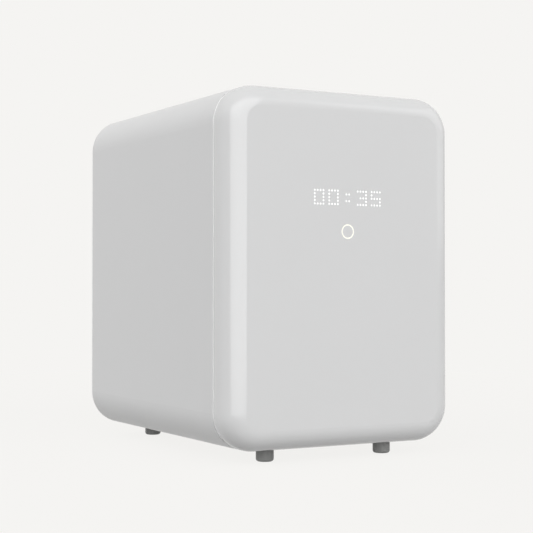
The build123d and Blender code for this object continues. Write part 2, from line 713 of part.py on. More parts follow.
def wall_plane(origin, along, outward):
    """Plane of a wall's visible face: sketch X runs along the module, and extrusion goes outward."""
    return Plane(origin=origin, x_dir=along, z_dir=outward)


CHAMBER_LAMPS = {
    "left": (
        wall_plane((-CHAMBER_WIDTH / 2, CHAMBER_MIDDLE_Y, CHAMBER_MIDDLE_Z), (0, 0, 1), (-1, 0, 0)),
        SIDE_LAMP_LENGTH,
    ),
    "right": (
        wall_plane((CHAMBER_WIDTH / 2, CHAMBER_MIDDLE_Y, CHAMBER_MIDDLE_Z), (0, 0, 1), (1, 0, 0)),
        SIDE_LAMP_LENGTH,
    ),
    "top": (wall_plane((0, CHAMBER_MIDDLE_Y, CHAMBER_TOP_Z), (0, 1, 0), (0, 0, 1)), TOP_LAMP_LENGTH),
    "rear": (
        wall_plane((0, CHAMBER_REAR_Y, REAR_LAMP_Z), (0, 0, 1), (0, 1, 0)),
        REAR_LAMP_LENGTH,
    ),
}
DOOR_LAMP = wall_plane((0, PANEL_BACK_Y + REFLECTOR_THICK, CHAMBER_MIDDLE_Z), (0, 0, 1), (0, -1, 0))
DOOR_LAMP_WALL = REFLECTOR_THICK + PANEL_THICK


def make_lamp_window(name, wall, length, wall_thick):
    with BuildPart() as window:
        with BuildSketch(wall):
            RectangleRounded(length, LAMP_WIDTH, LAMP_CORNER_R)
        extrude(amount=wall_thick + WINDOW_SEAT)
    save(window, f"lamp_window_{name}")


def make_lamp_backs(group, modules):
    """Holders, boards and lamps of the modules, given as wall plane, length and wall thickness."""
    with BuildPart() as holders:
        for wall, length, wall_thick in modules:
            with BuildSketch(wall.offset(wall_thick)):
                RectangleRounded(
                    length + 2 * LAMP_HOLDER_MARGIN, LAMP_WIDTH + 2 * LAMP_HOLDER_MARGIN, 2 * LAMP_CORNER_R
                )
            extrude(amount=LAMP_HOLDER_DEPTH)
        for wall, length, wall_thick in modules:
            with BuildSketch(wall.offset(wall_thick)):
                Rectangle(length, LAMP_WIDTH)
            extrude(amount=WINDOW_SEAT, mode=Mode.SUBTRACT)
            with BuildSketch(wall.offset(wall_thick)):
                RectangleRounded(
                    length - 2 * LAMP_HOLDER_LEDGE, LAMP_WIDTH - 2 * LAMP_HOLDER_LEDGE, LAMP_CORNER_R
                )
            extrude(amount=LAMP_HOLDER_DEPTH, mode=Mode.SUBTRACT)
    save(holders, f"lamp_holders_{group}")
    with BuildPart() as boards:
        for wall, length, wall_thick in modules:
            with BuildSketch(wall.offset(wall_thick + LAMP_HOLDER_DEPTH)):
                RectangleRounded(
                    length + 2 * LAMP_BOARD_MARGIN, LAMP_WIDTH + 2 * LAMP_BOARD_MARGIN, BOARD_CORNER_R
                )
            extrude(amount=BOARD_THICK)
    save(boards, f"lamp_boards_{group}")
    with BuildPart() as leds:
        for wall, length, wall_thick in modules:
            count = int((length - LED_PITCH / 2) // LED_PITCH)
            with Locations(wall.offset(wall_thick + LAMP_HOLDER_DEPTH)):
                with GridLocations(LED_PITCH, 0, count, 1):
                    Box(LED_BASE, LED_BASE, LED_BASE_THICK, align=(Align.CENTER, Align.CENTER, Align.MAX))
            with Locations(wall.offset(wall_thick + LAMP_HOLDER_DEPTH - LED_BASE_THICK)):
                with GridLocations(LED_PITCH, 0, count, 1):
                    Sphere(LED_DOME_R)
    save(leds, f"uv_leds_{group}")


def make_lamps():
    for name, (wall, length) in CHAMBER_LAMPS.items():
        make_lamp_window(name, wall, length, LINER_WALL)
    make_lamp_window("door", DOOR_LAMP, DOOR_LAMP_LENGTH, DOOR_LAMP_WALL)
    make_lamp_backs("chamber", [(wall, length, LINER_WALL) for wall, length in CHAMBER_LAMPS.values()])
    make_lamp_backs("door", [(DOOR_LAMP, DOOR_LAMP_LENGTH, DOOR_LAMP_WALL)])


# Door

DISPLAY_BOARD_Y = Y_FRONT + DISPLAY_BOARD_BACK
DISPLAY_BOARD_Z = (DISPLAY_HEIGHT + KEY_HEIGHT) / 2
DISPLAY_POSTS = [
    (READOUT_X + x, DISPLAY_BOARD_Z + z)
    for x in both_sides(DISPLAY_BOARD_SIZE[0] / 2 - BOARD_SCREW_INSET)
    for z in both_sides(DISPLAY_BOARD_SIZE[1] / 2 - BOARD_SCREW_INSET)
]
PANEL_SCREWS = [
    (x, Z_MIDDLE + z)
    for x in both_sides(BODY_WIDTH / 2 - PANEL_SCREW_INSET)
    for z in both_sides(PANEL_SCREW_Z)
] + [
    (x, Z_MIDDLE + z)
    for x in both_sides(PANEL_SCREW_X)
    for z in both_sides(BODY_HEIGHT / 2 - PANEL_SCREW_INSET)
]
NOTCH_LEFT_X = CHAMBER_WIDTH / 2 + GASKET_OFFSET + GASKET_WIDTH + NOTCH_CLEARANCE


def glyph_dots():
    """Lit and dark dot places of the readout, as two lists of (x, z)."""
    columns = []
    for number, digit in enumerate(LIT_DIGITS):
        if number:
            columns.append("." * DOT_ROWS)
        rows = GLYPHS[digit]
        columns += ["".join(row[c] for row in rows) for c in range(len(rows[0]))]
    lit, dark = [], []
    for column, marks in enumerate(columns):
        for row, mark in enumerate(marks):
            x = READOUT_X + (column - (len(columns) - 1) / 2) * DOT_PITCH
            z = DISPLAY_HEIGHT + ((DOT_ROWS - 1) / 2 - row) * DOT_PITCH
            (lit if mark == "X" else dark).append((x, z))
    return lit, dark


LIT_DOTS, DARK_DOTS = glyph_dots()


def hinge_blocks():
    """Adds the four blocks that hold the bushes, above and below each knuckle, to the current part."""
    near = KNUCKLE_HEIGHT / 2 + BUSH_FLANGE + STEEL_GAP
    far = near + BUSH_LENGTH + HINGE_BLOCK_MARGIN / 2
    for z in HINGE_HEIGHTS:
        for low, high in ((z + near, z + far), (z - far, z - near)):
            upright_block(
                (HINGE_X - HINGE_BLOCK_REACH, BODY_WIDTH / 2),
                (HINGE_Y - HINGE_BLOCK_REACH, PANEL_FRONT_Y - SLIP),
                (low, high),
            )


def make_door_shell():
    """Front skin with rounded edges. Blocks and posts stand in its cavity and its hinge edge is relieved."""
    with BuildPart() as solid_inserts:
        hinge_blocks()
        with BuildSketch(front_plane(PANEL_FRONT_Y)):
            with Locations(*PANEL_SCREWS):
                Circle(POST_R)
        extrude(amount=PANEL_FRONT_Y - Y_FRONT)
        with BuildSketch(front_plane(DISPLAY_BOARD_Y)):
            with Locations(*DISPLAY_POSTS):
                Circle(POST_R)
        extrude(amount=DISPLAY_BOARD_Y - Y_FRONT)
    with BuildPart() as cavity:
        with BuildSketch(front_plane(DOOR_BACK_Y)):
            body_outline(DOOR_WALL)
        extrude(amount=DOOR_DEPTH - DOOR_WALL)
        fillet(cavity.faces().sort_by(Axis.Y)[0].edges(), FRONT_EDGE_R - DOOR_WALL)
        add(solid_inserts.part, mode=Mode.SUBTRACT)
    with BuildPart() as relief:
        quadrant = HINGE_BACKSET + HINGE_INSET
        upright_block(
            (HINGE_X, HINGE_X + quadrant), (HINGE_Y, HINGE_Y + quadrant), (Z_BOTTOM - 1, Z_TOP + 1)
        )
        with Locations((HINGE_X, HINGE_Y, Z_MIDDLE)):
            Cylinder(HINGE_BACKSET + SWING_CLEARANCE, BODY_HEIGHT + 4, mode=Mode.SUBTRACT)
    with BuildPart() as shell:
        with BuildSketch(front_plane(DOOR_BACK_Y)):
            body_outline(0)
        extrude(amount=DOOR_DEPTH)
        fillet(shell.faces().sort_by(Axis.Y)[0].edges(), FRONT_EDGE_R)
        fillet(shell.faces().sort_by(Axis.Y)[-1].edges(), SEAM_EDGE_R)
        add(cavity.part, mode=Mode.SUBTRACT)
        add(relief.part, mode=Mode.SUBTRACT)
        with BuildSketch(front_plane(Y_FRONT + DOOR_WALL)):
            with Locations(*LIT_DOTS, *DARK_DOTS):
                Circle(DOT_R)
            with Locations((READOUT_X, KEY_HEIGHT)):
                Circle(RING_OUTER_R)
        extrude(amount=DOOR_WALL, mode=Mode.SUBTRACT)
        with BuildSketch(front_plane(PANEL_FRONT_Y)):
            with Locations(*PANEL_SCREWS):
                Circle(SCREW_R)
        extrude(amount=PANEL_SCREW_LENGTH, mode=Mode.SUBTRACT)
        with BuildSketch(front_plane(DISPLAY_BOARD_Y)):
            with Locations(*DISPLAY_POSTS):
                Circle(SCREW_R)
        extrude(amount=BOARD_HOLE_DEPTH, mode=Mode.SUBTRACT)
        for z in HINGE_HEIGHTS:
            with Locations((HINGE_X, HINGE_Y, z)):
                Cylinder(BUSH_R, KNUCKLE_HEIGHT + 2 * BUSH_LENGTH + 8, mode=Mode.SUBTRACT)
    save(shell, "door_shell")


def make_door_panel():
    """Inner cover of the door, with the gasket's groove, notches for the hinge and a lamp opening."""
    with BuildPart() as panel:
        with BuildSketch(front_plane(PANEL_BACK_Y)):
            body_outline(DOOR_WALL + SLIP)
        extrude(amount=PANEL_THICK)
        with BuildSketch(front_plane(PANEL_BACK_Y)):
            mouth_outline(GASKET_OFFSET + GASKET_WIDTH)
            with Locations((0, CHAMBER_MIDDLE_Z)):
                RectangleRounded(
                    CHAMBER_WIDTH + 2 * GASKET_OFFSET,
                    CHAMBER_HEIGHT + 2 * GASKET_OFFSET,
                    CHAMBER_CORNER_R + GASKET_OFFSET,
                    mode=Mode.SUBTRACT,
                )
        extrude(amount=GASKET_GROOVE, mode=Mode.SUBTRACT)
        for z in HINGE_HEIGHTS:
            with BuildSketch(front_plane(PANEL_BACK_Y)):
                with Locations((BODY_WIDTH / 2, z)):
                    Rectangle(2 * (BODY_WIDTH / 2 - NOTCH_LEFT_X), KNUCKLE_HEIGHT + 4)
            extrude(amount=PANEL_THICK, mode=Mode.SUBTRACT)
        with BuildSketch(DOOR_LAMP):
            Rectangle(DOOR_LAMP_LENGTH + 2 * SLIP, LAMP_WIDTH + 2 * SLIP)
        extrude(amount=DOOR_LAMP_WALL, mode=Mode.SUBTRACT)
        with BuildSketch(front_plane(PANEL_BACK_Y)):
            with Locations((LATCH_X, Z_MIDDLE)):
                Circle(STRIKE_R)
        extrude(amount=STRIKE_THICK, mode=Mode.SUBTRACT)
        with Locations(*[Location((x, PANEL_BACK_Y, z), (-90, 0, 0)) for x, z in PANEL_SCREWS]):
            CounterSinkHole(SCREW_R + SLIP, SCREW_HEAD_R, depth=PANEL_THICK)
    save(panel, "door_inner_panel")
    with BuildPart() as reflector:
        with BuildSketch(front_plane(PANEL_BACK_Y + REFLECTOR_THICK)):
            mouth_outline(-REFLECTOR_INSET)
            with Locations((0, CHAMBER_MIDDLE_Z)):
                Rectangle(LAMP_WIDTH + 2 * SLIP, DOOR_LAMP_LENGTH + 2 * SLIP, mode=Mode.SUBTRACT)
        extrude(amount=REFLECTOR_THICK)
    save(reflector, "door_reflector")
    inner_grow = GASKET_OFFSET + GASKET_CLEARANCE
    with BuildPart() as gasket:
        with BuildSketch(front_plane(FRAME_FRONT_Y - SEAL_CLEARANCE)):
            mouth_outline(GASKET_OFFSET + GASKET_WIDTH - GASKET_CLEARANCE)
            with Locations((0, CHAMBER_MIDDLE_Z)):
                RectangleRounded(
                    CHAMBER_WIDTH + 2 * inner_grow,
                    CHAMBER_HEIGHT + 2 * inner_grow,
                    CHAMBER_CORNER_R + inner_grow,
                    mode=Mode.SUBTRACT,
                )
        extrude(amount=FRAME_FRONT_Y - SEAL_CLEARANCE - PANEL_BACK_Y + GASKET_GROOVE)
        fillet(gasket.faces().sort_by(Axis.Y)[-1].edges(), GASKET_WIDTH / 3)
    save(gasket, "door_gasket")
    screws = [Location((x, PANEL_BACK_Y - SLIP, z), (-90, 0, 0)) for x, z in PANEL_SCREWS]
    save(countersunk_screws(screws, PANEL_SCREW_LENGTH), "door_panel_screws")


def make_readout():
    """Light guides of the dot display, the ring round the key, the key itself and their board."""
    for name, places in (("display_dots_lit", LIT_DOTS), ("display_dots_dark", DARK_DOTS)):
        with BuildPart() as dots:
            with BuildSketch(front_plane(Y_FRONT + GUIDE_LENGTH)):
                with Locations(*places):
                    Circle(DOT_R)
            extrude(amount=GUIDE_LENGTH)
        save(dots, name)
    ring_inner_r = RING_OUTER_R - RING_WIDTH
    with BuildPart() as ring:
        with BuildSketch(front_plane(DISPLAY_BOARD_Y)):
            with Locations((READOUT_X, KEY_HEIGHT)):
                Circle(RING_OUTER_R)
                Circle(ring_inner_r, mode=Mode.SUBTRACT)
        extrude(amount=DISPLAY_BOARD_BACK)
    save(ring, "key_light_ring")
    stem_end_y = DISPLAY_BOARD_Y - SWITCH_HEIGHT - KEY_TRAVEL - REST_GAP
    with BuildPart() as key:
        with BuildSketch(front_plane(Y_FRONT + KEY_THICK)):
            with Locations((READOUT_X, KEY_HEIGHT)):
                Circle(ring_inner_r - KEY_CLEARANCE)
        extrude(amount=KEY_THICK)
        with BuildSketch(front_plane(stem_end_y)):
            with Locations((READOUT_X, KEY_HEIGHT)):
                Circle(STEM_R)
        extrude(amount=stem_end_y - Y_FRONT - KEY_THICK)
    save(key, "power_key")
    with BuildPart() as board:
        with BuildSketch(front_plane(DISPLAY_BOARD_Y + BOARD_THICK)):
            with Locations((READOUT_X, DISPLAY_BOARD_Z)):
                RectangleRounded(*DISPLAY_BOARD_SIZE, BOARD_CORNER_R)
            with Locations(*DISPLAY_POSTS):
                Circle(SCREW_R + SLIP, mode=Mode.SUBTRACT)
        extrude(amount=BOARD_THICK)
    save(board, "display_board")
    with BuildPart() as matrix:
        with BuildSketch(front_plane(DISPLAY_BOARD_Y)):
            with Locations((READOUT_X, DISPLAY_HEIGHT)):
                Rectangle(*MATRIX_SIZE)
        extrude(amount=DISPLAY_BOARD_BACK - GUIDE_LENGTH - REST_GAP)
    save(matrix, "dot_matrix_module")
    with BuildPart() as switch:
        with BuildSketch(front_plane(DISPLAY_BOARD_Y)):
            with Locations((READOUT_X, KEY_HEIGHT)):
                Rectangle(SWITCH_SIZE, SWITCH_SIZE)
        extrude(amount=SWITCH_HEIGHT - KEY_TRAVEL)
        with BuildSketch(front_plane(DISPLAY_BOARD_Y)):
            with Locations((READOUT_X, KEY_HEIGHT)):
                Circle(STEM_R - SLIP)
        extrude(amount=SWITCH_HEIGHT)
    save(switch, "key_switch")
    screws = [Location((x, DISPLAY_BOARD_Y + BOARD_THICK, z), (-90, 0, 0)) for x, z in DISPLAY_POSTS]
    save(pan_screws(screws, BOARD_SCREW_LENGTH), "display_board_screws")


# Hinge and latch


def make_hinges():
    knuckle_side_y = HINGE_Y - KNUCKLE_R + STRIP_THICK / 2
    strip_end_y = FRAME_BACK_Y + STRIP_TAIL
    with BuildPart() as strips:
        for z in HINGE_HEIGHTS:
            with BuildSketch(Plane.XY.offset(z - KNUCKLE_HEIGHT / 2)):
                with BuildLine():
                    FilletPolyline(
                        (HINGE_X, knuckle_side_y),
                        (STRIP_X, knuckle_side_y),
                        (STRIP_X, strip_end_y),
                        radius=STRIP_THICK,
                    )
                    offset(amount=STRIP_THICK / 2, side=Side.BOTH)
                make_face()
                with Locations((HINGE_X, HINGE_Y)):
                    Circle(KNUCKLE_R)
                    Circle(PIN_R, mode=Mode.SUBTRACT)
            extrude(amount=KNUCKLE_HEIGHT)
        for z in HINGE_HEIGHTS:
            with BuildSketch(side_plane(STRIP_X - STRIP_THICK)):
                with Locations(*hinge_screw_places(z)):
                    Circle(SCREW_R)
            extrude(amount=2 * STRIP_THICK, mode=Mode.SUBTRACT)
    save(strips, "hinge_strips")
    pin_length = KNUCKLE_HEIGHT + 2 * BUSH_LENGTH
    with BuildPart() as pins:
        with Locations(*[(HINGE_X, HINGE_Y, z) for z in HINGE_HEIGHTS]):
            Cylinder(PIN_R, pin_length)
        chamfer(pins.edges().filter_by(GeomType.CIRCLE), PIN_CHAMFER)
    save(pins, "hinge_pins")
    near = KNUCKLE_HEIGHT / 2 + STEEL_GAP
    with BuildPart() as bush:
        Cylinder(BUSH_FLANGE_R, BUSH_FLANGE, align=(Align.CENTER, Align.CENTER, Align.MIN))
        Cylinder(BUSH_R, BUSH_LENGTH + BUSH_FLANGE, align=(Align.CENTER, Align.CENTER, Align.MIN))
        Cylinder(PIN_R + RUNNING_CLEARANCE, 4 * BUSH_LENGTH, mode=Mode.SUBTRACT)
    places = [Location((HINGE_X, HINGE_Y, z + near)) for z in HINGE_HEIGHTS]
    places += [Location((HINGE_X, HINGE_Y, z - near), (180, 0, 0)) for z in HINGE_HEIGHTS]
    with BuildPart() as bushes:
        with Locations(*places):
            add(bush.part)
    save(bushes, "hinge_bushes")


def make_latch():
    """Magnetic push latch at the free side: its sleeve is in the frame, and the door carries the strike."""
    with BuildPart() as body:
        with BuildSketch(front_plane(FRAME_FRONT_Y + LATCH_LENGTH)):
            with Locations((LATCH_X, Z_MIDDLE)):
                Circle(LATCH_BODY_R)
        extrude(amount=LATCH_LENGTH)
        with BuildSketch(front_plane(FRAME_FRONT_Y + LATCH_LENGTH - LATCH_END_WALL)):
            with Locations((LATCH_X, Z_MIDDLE)):
                Circle(PLUNGER_R + SLIP)
        extrude(amount=LATCH_LENGTH, mode=Mode.SUBTRACT)
    save(body, "latch_sleeve")
    magnet_back_y = PANEL_BACK_Y + LATCH_GAP + LATCH_MAGNET_THICK
    with BuildPart() as plunger:
        with BuildSketch(front_plane(magnet_back_y + PLUNGER_LENGTH)):
            with Locations((LATCH_X, Z_MIDDLE)):
                Circle(PLUNGER_R)
        extrude(amount=PLUNGER_LENGTH)
    save(plunger, "latch_plunger")
    with BuildPart() as magnet:
        with BuildSketch(front_plane(magnet_back_y)):
            with Locations((LATCH_X, Z_MIDDLE)):
                Circle(PLUNGER_R)
        extrude(amount=LATCH_MAGNET_THICK)
    save(magnet, "latch_magnet")
    with BuildPart() as strike:
        with BuildSketch(front_plane(PANEL_BACK_Y)):
            with Locations((LATCH_X, Z_MIDDLE)):
                Circle(STRIKE_R)
        extrude(amount=STRIKE_THICK)
    save(strike, "latch_strike")


# Racks

RACK_X = CHAMBER_WIDTH / 2 - RACK_SIDE_GAP - RIM_WIRE_R
RACK_FRONT_Y = FRAME_BACK_Y + RACK_FRONT_GAP
RACK_REAR_Y = CHAMBER_REAR_Y - RACK_REAR_GAP
STUD_YS = (CHAMBER_MIDDLE_Y - STUD_SPREAD, CHAMBER_MIDDLE_Y + STUD_SPREAD)


def sweep_wire(route, wire_r):
    """Adds a round wire along the route to the current part."""
    with BuildSketch(Plane(origin=route @ 0, z_dir=route % 0), mode=Mode.PRIVATE) as section:
        Circle(wire_r)
    sweep(section.sketch, path=route)


def bent_route(points, bend_r):
    """Returns the line through points with every corner bent."""
    with BuildLine(mode=Mode.PRIVATE) as path:
        FilletPolyline(*points, radius=bend_r)
    return path.wires()[0]


def rack_grid(z):
    """Adds one rack's rim, the grid wires that lie on it and its cross bar to the current part."""
    middle_y = (RACK_FRONT_Y + RACK_REAR_Y) / 2
    for x in both_sides(RACK_X):
        half_rim = [(0, RACK_FRONT_Y, z), (x, RACK_FRONT_Y, z), (x, RACK_REAR_Y, z), (0, RACK_REAR_Y, z)]
        sweep_wire(bent_route(half_rim, RACK_CORNER_R), RIM_WIRE_R)
    pitch = 2 * RACK_X / (RACK_WIRES + 1)
    grid_z = z + RIM_WIRE_R + GRID_WIRE_R - WELD_DEPTH
    for k in range(RACK_WIRES):
        x = (k - (RACK_WIRES - 1) / 2) * pitch
        with Locations(Location((x, middle_y, grid_z), (90, 0, 0))):
            Cylinder(GRID_WIRE_R, RACK_REAR_Y - RACK_FRONT_Y + 2 * (RIM_WIRE_R - WELD_DEPTH))
    with Locations(Location((0, middle_y, z), (0, 90, 0))):
        Cylinder(BAR_WIRE_R, 2 * RACK_X)


def make_racks():
    guard_x = RACK_X - RACK_CORNER_R
    guard_top = UPPER_RACK_Z + GUARD_HEIGHT
    with BuildPart() as upper:
        rack_grid(UPPER_RACK_Z)
        for y in (RACK_FRONT_Y, RACK_REAR_Y):
            corners = [
                (-guard_x, y, UPPER_RACK_Z),
                (-guard_x, y, guard_top),
                (guard_x, y, guard_top),
                (guard_x, y, UPPER_RACK_Z),
            ]
            sweep_wire(bent_route(corners, GUARD_BEND_R), GUARD_WIRE_R)
    save(upper, "upper_rack")
    foot_z = CHAMBER_FLOOR_Z + LEG_WIRE_R + REST_GAP
    with BuildPart() as lower:
        rack_grid(LOWER_RACK_Z)
        for x in both_sides(LEG_SPREAD * RACK_X):
            corners = [
                (x, RACK_FRONT_Y, LOWER_RACK_Z),
                (x, RACK_FRONT_Y, foot_z),
                (x, RACK_REAR_Y, foot_z),
                (x, RACK_REAR_Y, LOWER_RACK_Z),
            ]
            sweep_wire(bent_route(corners, LEG_BEND_R), LEG_WIRE_R)
    save(lower, "lower_rack")
    stud_z = UPPER_RACK_Z - RIM_WIRE_R - STUD_R - REST_GAP
    with BuildPart() as studs:
        for side in (-1, 1):
            for y in STUD_YS:
                middle_x = side * (CHAMBER_WIDTH - STUD_LENGTH) / 2
                with Locations(Location((middle_x, y, stud_z), (0, 90, 0))):
                    Cylinder(STUD_R, STUD_LENGTH)
        fillet(studs.edges().filter_by(GeomType.CIRCLE).group_by(Axis.X)[1], STUD_EDGE_R)
        fillet(studs.edges().filter_by(GeomType.CIRCLE).group_by(Axis.X)[-2], STUD_EDGE_R)
    save(studs, "rack_studs")


# Air path


def make_air_path():
    with BuildPart() as duct:
        with BuildSketch(front_plane(FAN_FRONT_Y)):
            with Locations((0, FAN_Z)):
                RectangleRounded(FAN_SIZE, FAN_SIZE, FAN_CORNER_R)
                RectangleRounded(
                    FAN_SIZE - 2 * DUCT_WALL,
                    FAN_SIZE - 2 * DUCT_WALL,
                    FAN_CORNER_R - DUCT_WALL,
                    mode=Mode.SUBTRACT,
                )
        extrude(amount=DUCT_LENGTH)
    save(duct, "air_duct")
    heater_size = FAN_SIZE - 2 * DUCT_WALL - 2 * SLIP
    heater_inside = heater_size - 2 * HEATER_RIM
    heater_back_y = DUCT_FRONT_Y + HEATER_GAP + HEATER_DEPTH
    with BuildPart() as heater:
        with BuildSketch(front_plane(heater_back_y)):
            with Locations((0, FAN_Z)):
                RectangleRounded(heater_size, heater_size, FAN_CORNER_R - DUCT_WALL)
                Rectangle(heater_inside, heater_inside, mode=Mode.SUBTRACT)
                with GridLocations(HEATER_FIN_PITCH, 0, HEATER_FINS, 1):
                    Rectangle(HEATER_FIN_THICK, heater_inside + 2 * WELD_OVERLAP)
                with GridLocations(0, heater_size / 4, 1, 3):
                    Rectangle(heater_inside + 2 * WELD_OVERLAP, HEATER_BAR)
        extrude(amount=HEATER_DEPTH)
    save(heater, "heater_core")
    screw_spread = FAN_SIZE - 2 * FAN_SCREW_INSET
    with BuildPart() as housing:
        with BuildSketch(front_plane(FAN_BACK_Y)):
            with Locations((0, FAN_Z)):
                RectangleRounded(FAN_SIZE, FAN_SIZE, FAN_CORNER_R)
                Circle(FAN_BORE_R, mode=Mode.SUBTRACT)
                with GridLocations(screw_spread, screw_spread, 2, 2):
                    Circle(FAN_SCREW_R, mode=Mode.SUBTRACT)
        extrude(amount=FAN_THICK)
        with BuildSketch(front_plane(FAN_BACK_Y)):
            with Locations((0, FAN_Z)):
                Circle(FAN_HUB_R)
                with PolarLocations(FAN_BORE_R / 2, 4, start_angle=45):
                    Rectangle(FAN_BORE_R + FAN_ARM_WIDTH, FAN_ARM_WIDTH)
            with Locations((0, FAN_Z)):
                Circle(FAN_SHAFT_R + BEARING_WALL, mode=Mode.SUBTRACT)
        extrude(amount=FAN_ARM_THICK)
    save(housing, "fan_housing")
    rotor_back_y = FAN_BACK_Y - FAN_ARM_THICK - FAN_ROTOR_GAP
    with BuildPart() as bearing:
        with BuildSketch(front_plane(FAN_BACK_Y)):
            with Locations((0, FAN_Z)):
                Circle(FAN_SHAFT_R + BEARING_WALL)
                Circle(FAN_SHAFT_R + RUNNING_CLEARANCE, mode=Mode.SUBTRACT)
        extrude(amount=FAN_ARM_THICK)
    save(bearing, "fan_bearing")
    with BuildPart() as shaft:
        with BuildSketch(front_plane(FAN_BACK_Y)):
            with Locations((0, FAN_Z)):
                Circle(FAN_SHAFT_R)
        extrude(amount=FAN_SHAFT_LENGTH)
    save(shaft, "fan_shaft")
    blade_depth = FAN_THICK - FAN_ARM_THICK - FAN_FRONT_SPACE
    with BuildPart() as rotor:
        with BuildSketch(front_plane(rotor_back_y)):
            with Locations((0, FAN_Z)):
                Circle(FAN_HUB_R)
        extrude(amount=blade_depth)
        fillet(rotor.faces().sort_by(Axis.Y)[0].edges(), 2)
        blade_reach = FAN_BORE_R - FAN_TIP_CLEARANCE - FAN_HUB_R + BLADE_ROOT
        hub = Plane(origin=(0, rotor_back_y - blade_depth / 2, FAN_Z), x_dir=(1, 0, 0), z_dir=(0, -1, 0))
        with Locations(hub):
            with PolarLocations(FAN_HUB_R - BLADE_ROOT + blade_reach / 2, FAN_BLADES):
                with Locations(Rotation(BLADE_ANGLE, 0, 0)):
                    Box(blade_reach, BLADE_THICK, blade_depth)
        with BuildSketch(front_plane(FAN_BACK_Y)):
            with Locations((0, FAN_Z)):
                Circle(FAN_SHAFT_R)
        extrude(amount=FAN_SHAFT_LENGTH, mode=Mode.SUBTRACT)
    save(rotor, "fan_rotor")


def make_filter():
    """Pleated filter in its frame, and the louvred cover that it is pulled out with."""
    inside = FILTER_SIZE - 2 * FILTER_RIM
    pitch = (inside - 2 * WELD_OVERLAP) / PLEATS
    depth = FILTER_DEPTH - 2 * PLEAT_MARGIN
    front_y = FILTER_FRONT_Y + PLEAT_MARGIN
    left = -pitch * PLEATS / 2
    folds = [(left + k * pitch / 2, front_y + (depth if k % 2 else 0)) for k in range(2 * PLEATS + 1)]
    with BuildPart() as element:
        with BuildSketch(front_plane(FILTER_BACK_Y)):
            with Locations((0, FAN_Z)):
                RectangleRounded(FILTER_SIZE, FILTER_SIZE, FILTER_CORNER_R)
                Rectangle(inside, inside, mode=Mode.SUBTRACT)
        extrude(amount=FILTER_DEPTH)
        with BuildSketch(Plane.XY.offset(FAN_Z - inside / 2 - WELD_OVERLAP)):
            with BuildLine():
                Polyline(*folds, *[(x, y + PAPER_THICK) for x, y in reversed(folds)], close=True)
            make_face()
        extrude(amount=inside + 2 * WELD_OVERLAP)
    save(element, "filter_element")
    with BuildPart() as cover:
        with BuildSketch(front_plane(Y_BACK)):
            with Locations((0, FAN_Z)):
                RectangleRounded(FILTER_COVER_SIZE, FILTER_COVER_SIZE, FILTER_COVER_CORNER_R)
        extrude(amount=FILTER_COVER_THICK)
        fillet(cover.faces().sort_by(Axis.Y)[-1].edges(), FILTER_COVER_EDGE_R)
        with BuildSketch(front_plane(Y_BACK)):
            with Locations((0, FAN_Z)):
                with GridLocations(0, LOUVRE_PITCH, 1, LOUVRES):
                    SlotOverall(*LOUVRE_SLOT)
        extrude(amount=FILTER_COVER_THICK, mode=Mode.SUBTRACT)
    save(cover, "filter_cover")


def main():
    os.makedirs("parts", exist_ok=True)
    make_outer_casing()
    make_front_frame()
    make_chamber_liner()
    make_rear_panel()
    make_body_screws()
    make_feet()
    make_base()
    make_control_board()
    make_power_supply()
    make_lamps()
    make_door_shell()
    make_door_panel()
    make_readout()
    make_hinges()
    make_latch()
    make_racks()
    make_air_path()
    make_filter()


main()
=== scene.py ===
"""Looks of the UV baby bottle steriliser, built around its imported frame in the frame's own metres."""
import json
import math

import bpy
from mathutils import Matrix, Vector

# View of the photograph
CAMERA_PLACE = (-0.7637, -1.3879, 0.1891)
CAMERA_YAW, CAMERA_PITCH = math.radians(29.09), math.radians(0.895)
CAMERA_LENS, CAMERA_SENSOR = 88.04, 36.0

# Tones, linear
BACKGROUND = (0.913, 0.905, 0.888, 1)
WHITE = (1, 1, 1, 1)
SHELL = (0.605, 0.607, 0.610)
# Painted highlight: the casing's front lip is painted this lighter tone, for the bright line along the seam
LIP_PAINTED_HIGHLIGHT = (0.9, 0.9, 0.9)
GUIDE_BASE = (0.1, 0.1, 0.097)

# Gloss of the shell. The door is glossier than the casing, and the casing's front lip is glossier still
SHELL_IOR, CASING_IOR = 1.9, 1.5
SHELL_ROUGHNESS, CASING_ROUGHNESS, LIP_ROUGHNESS = 0.12, 0.32, 0.1
LIP_EDGE_Y, LIP_BLEND = -0.15865, 0.00005

# Light and floor
WORLD_LIGHT = 0.28
LAMP_DISTANCE, FILL_STEP_BACK = 8.0, 1.0
LAMP_TARGET = Vector((0, 0, 0.2))
FLOOR_SIZE = 60
FLOOR_BOUNCE = 0.25
FLOOR_SHADOW = 0.06
FLOOR_FADE = (0.45, 1.4)

# Noise mostly lies between these values, so tones and gloss are spread over them
NOISE_SPAN = (0.3, 0.7)

# Wide clouds over brushed steel, fibres in the filter's folds and the lamp windows' refraction
CLOUD_DARK, CLOUD_LIGHT, CLOUD_SHARE = (0.8, 0.8, 0.8), (1.0, 1.0, 1.0), 0.25
FIBRE_SHARE = 0.12
QUARTZ_IOR = 1.46

# Numbers of a mix node's two inputs and its output for each kind of data
MIX_SOCKETS = {"FLOAT": (2, 3, 0), "RGBA": (6, 7, 2)}


def material(name, **values):
    """A new material whose shader has the given plain values."""
    made = bpy.data.materials.new(name)
    made.use_nodes = True
    shader = made.node_tree.nodes["Principled BSDF"]
    for socket, value in values.items():
        target = shader.inputs[socket.replace("_", " ")]
        if hasattr(target.default_value, "__len__") and len(value) == 3:
            value = (*value, 1)
        target.default_value = value
    return made, made.node_tree, shader


def join(tree, *pairs):
    for out_socket, in_socket in pairs:
        tree.links.new(out_socket, in_socket)


def node(tree, kind, **settings):
    """A new node. Each setting is a property of the node or the plain value of an input."""
    made = tree.nodes.new(kind)
    for key, value in settings.items():
        if hasattr(made, key):
            setattr(made, key, value)
        else:
            made.inputs[key.replace("_", " ")].default_value = value
    return made


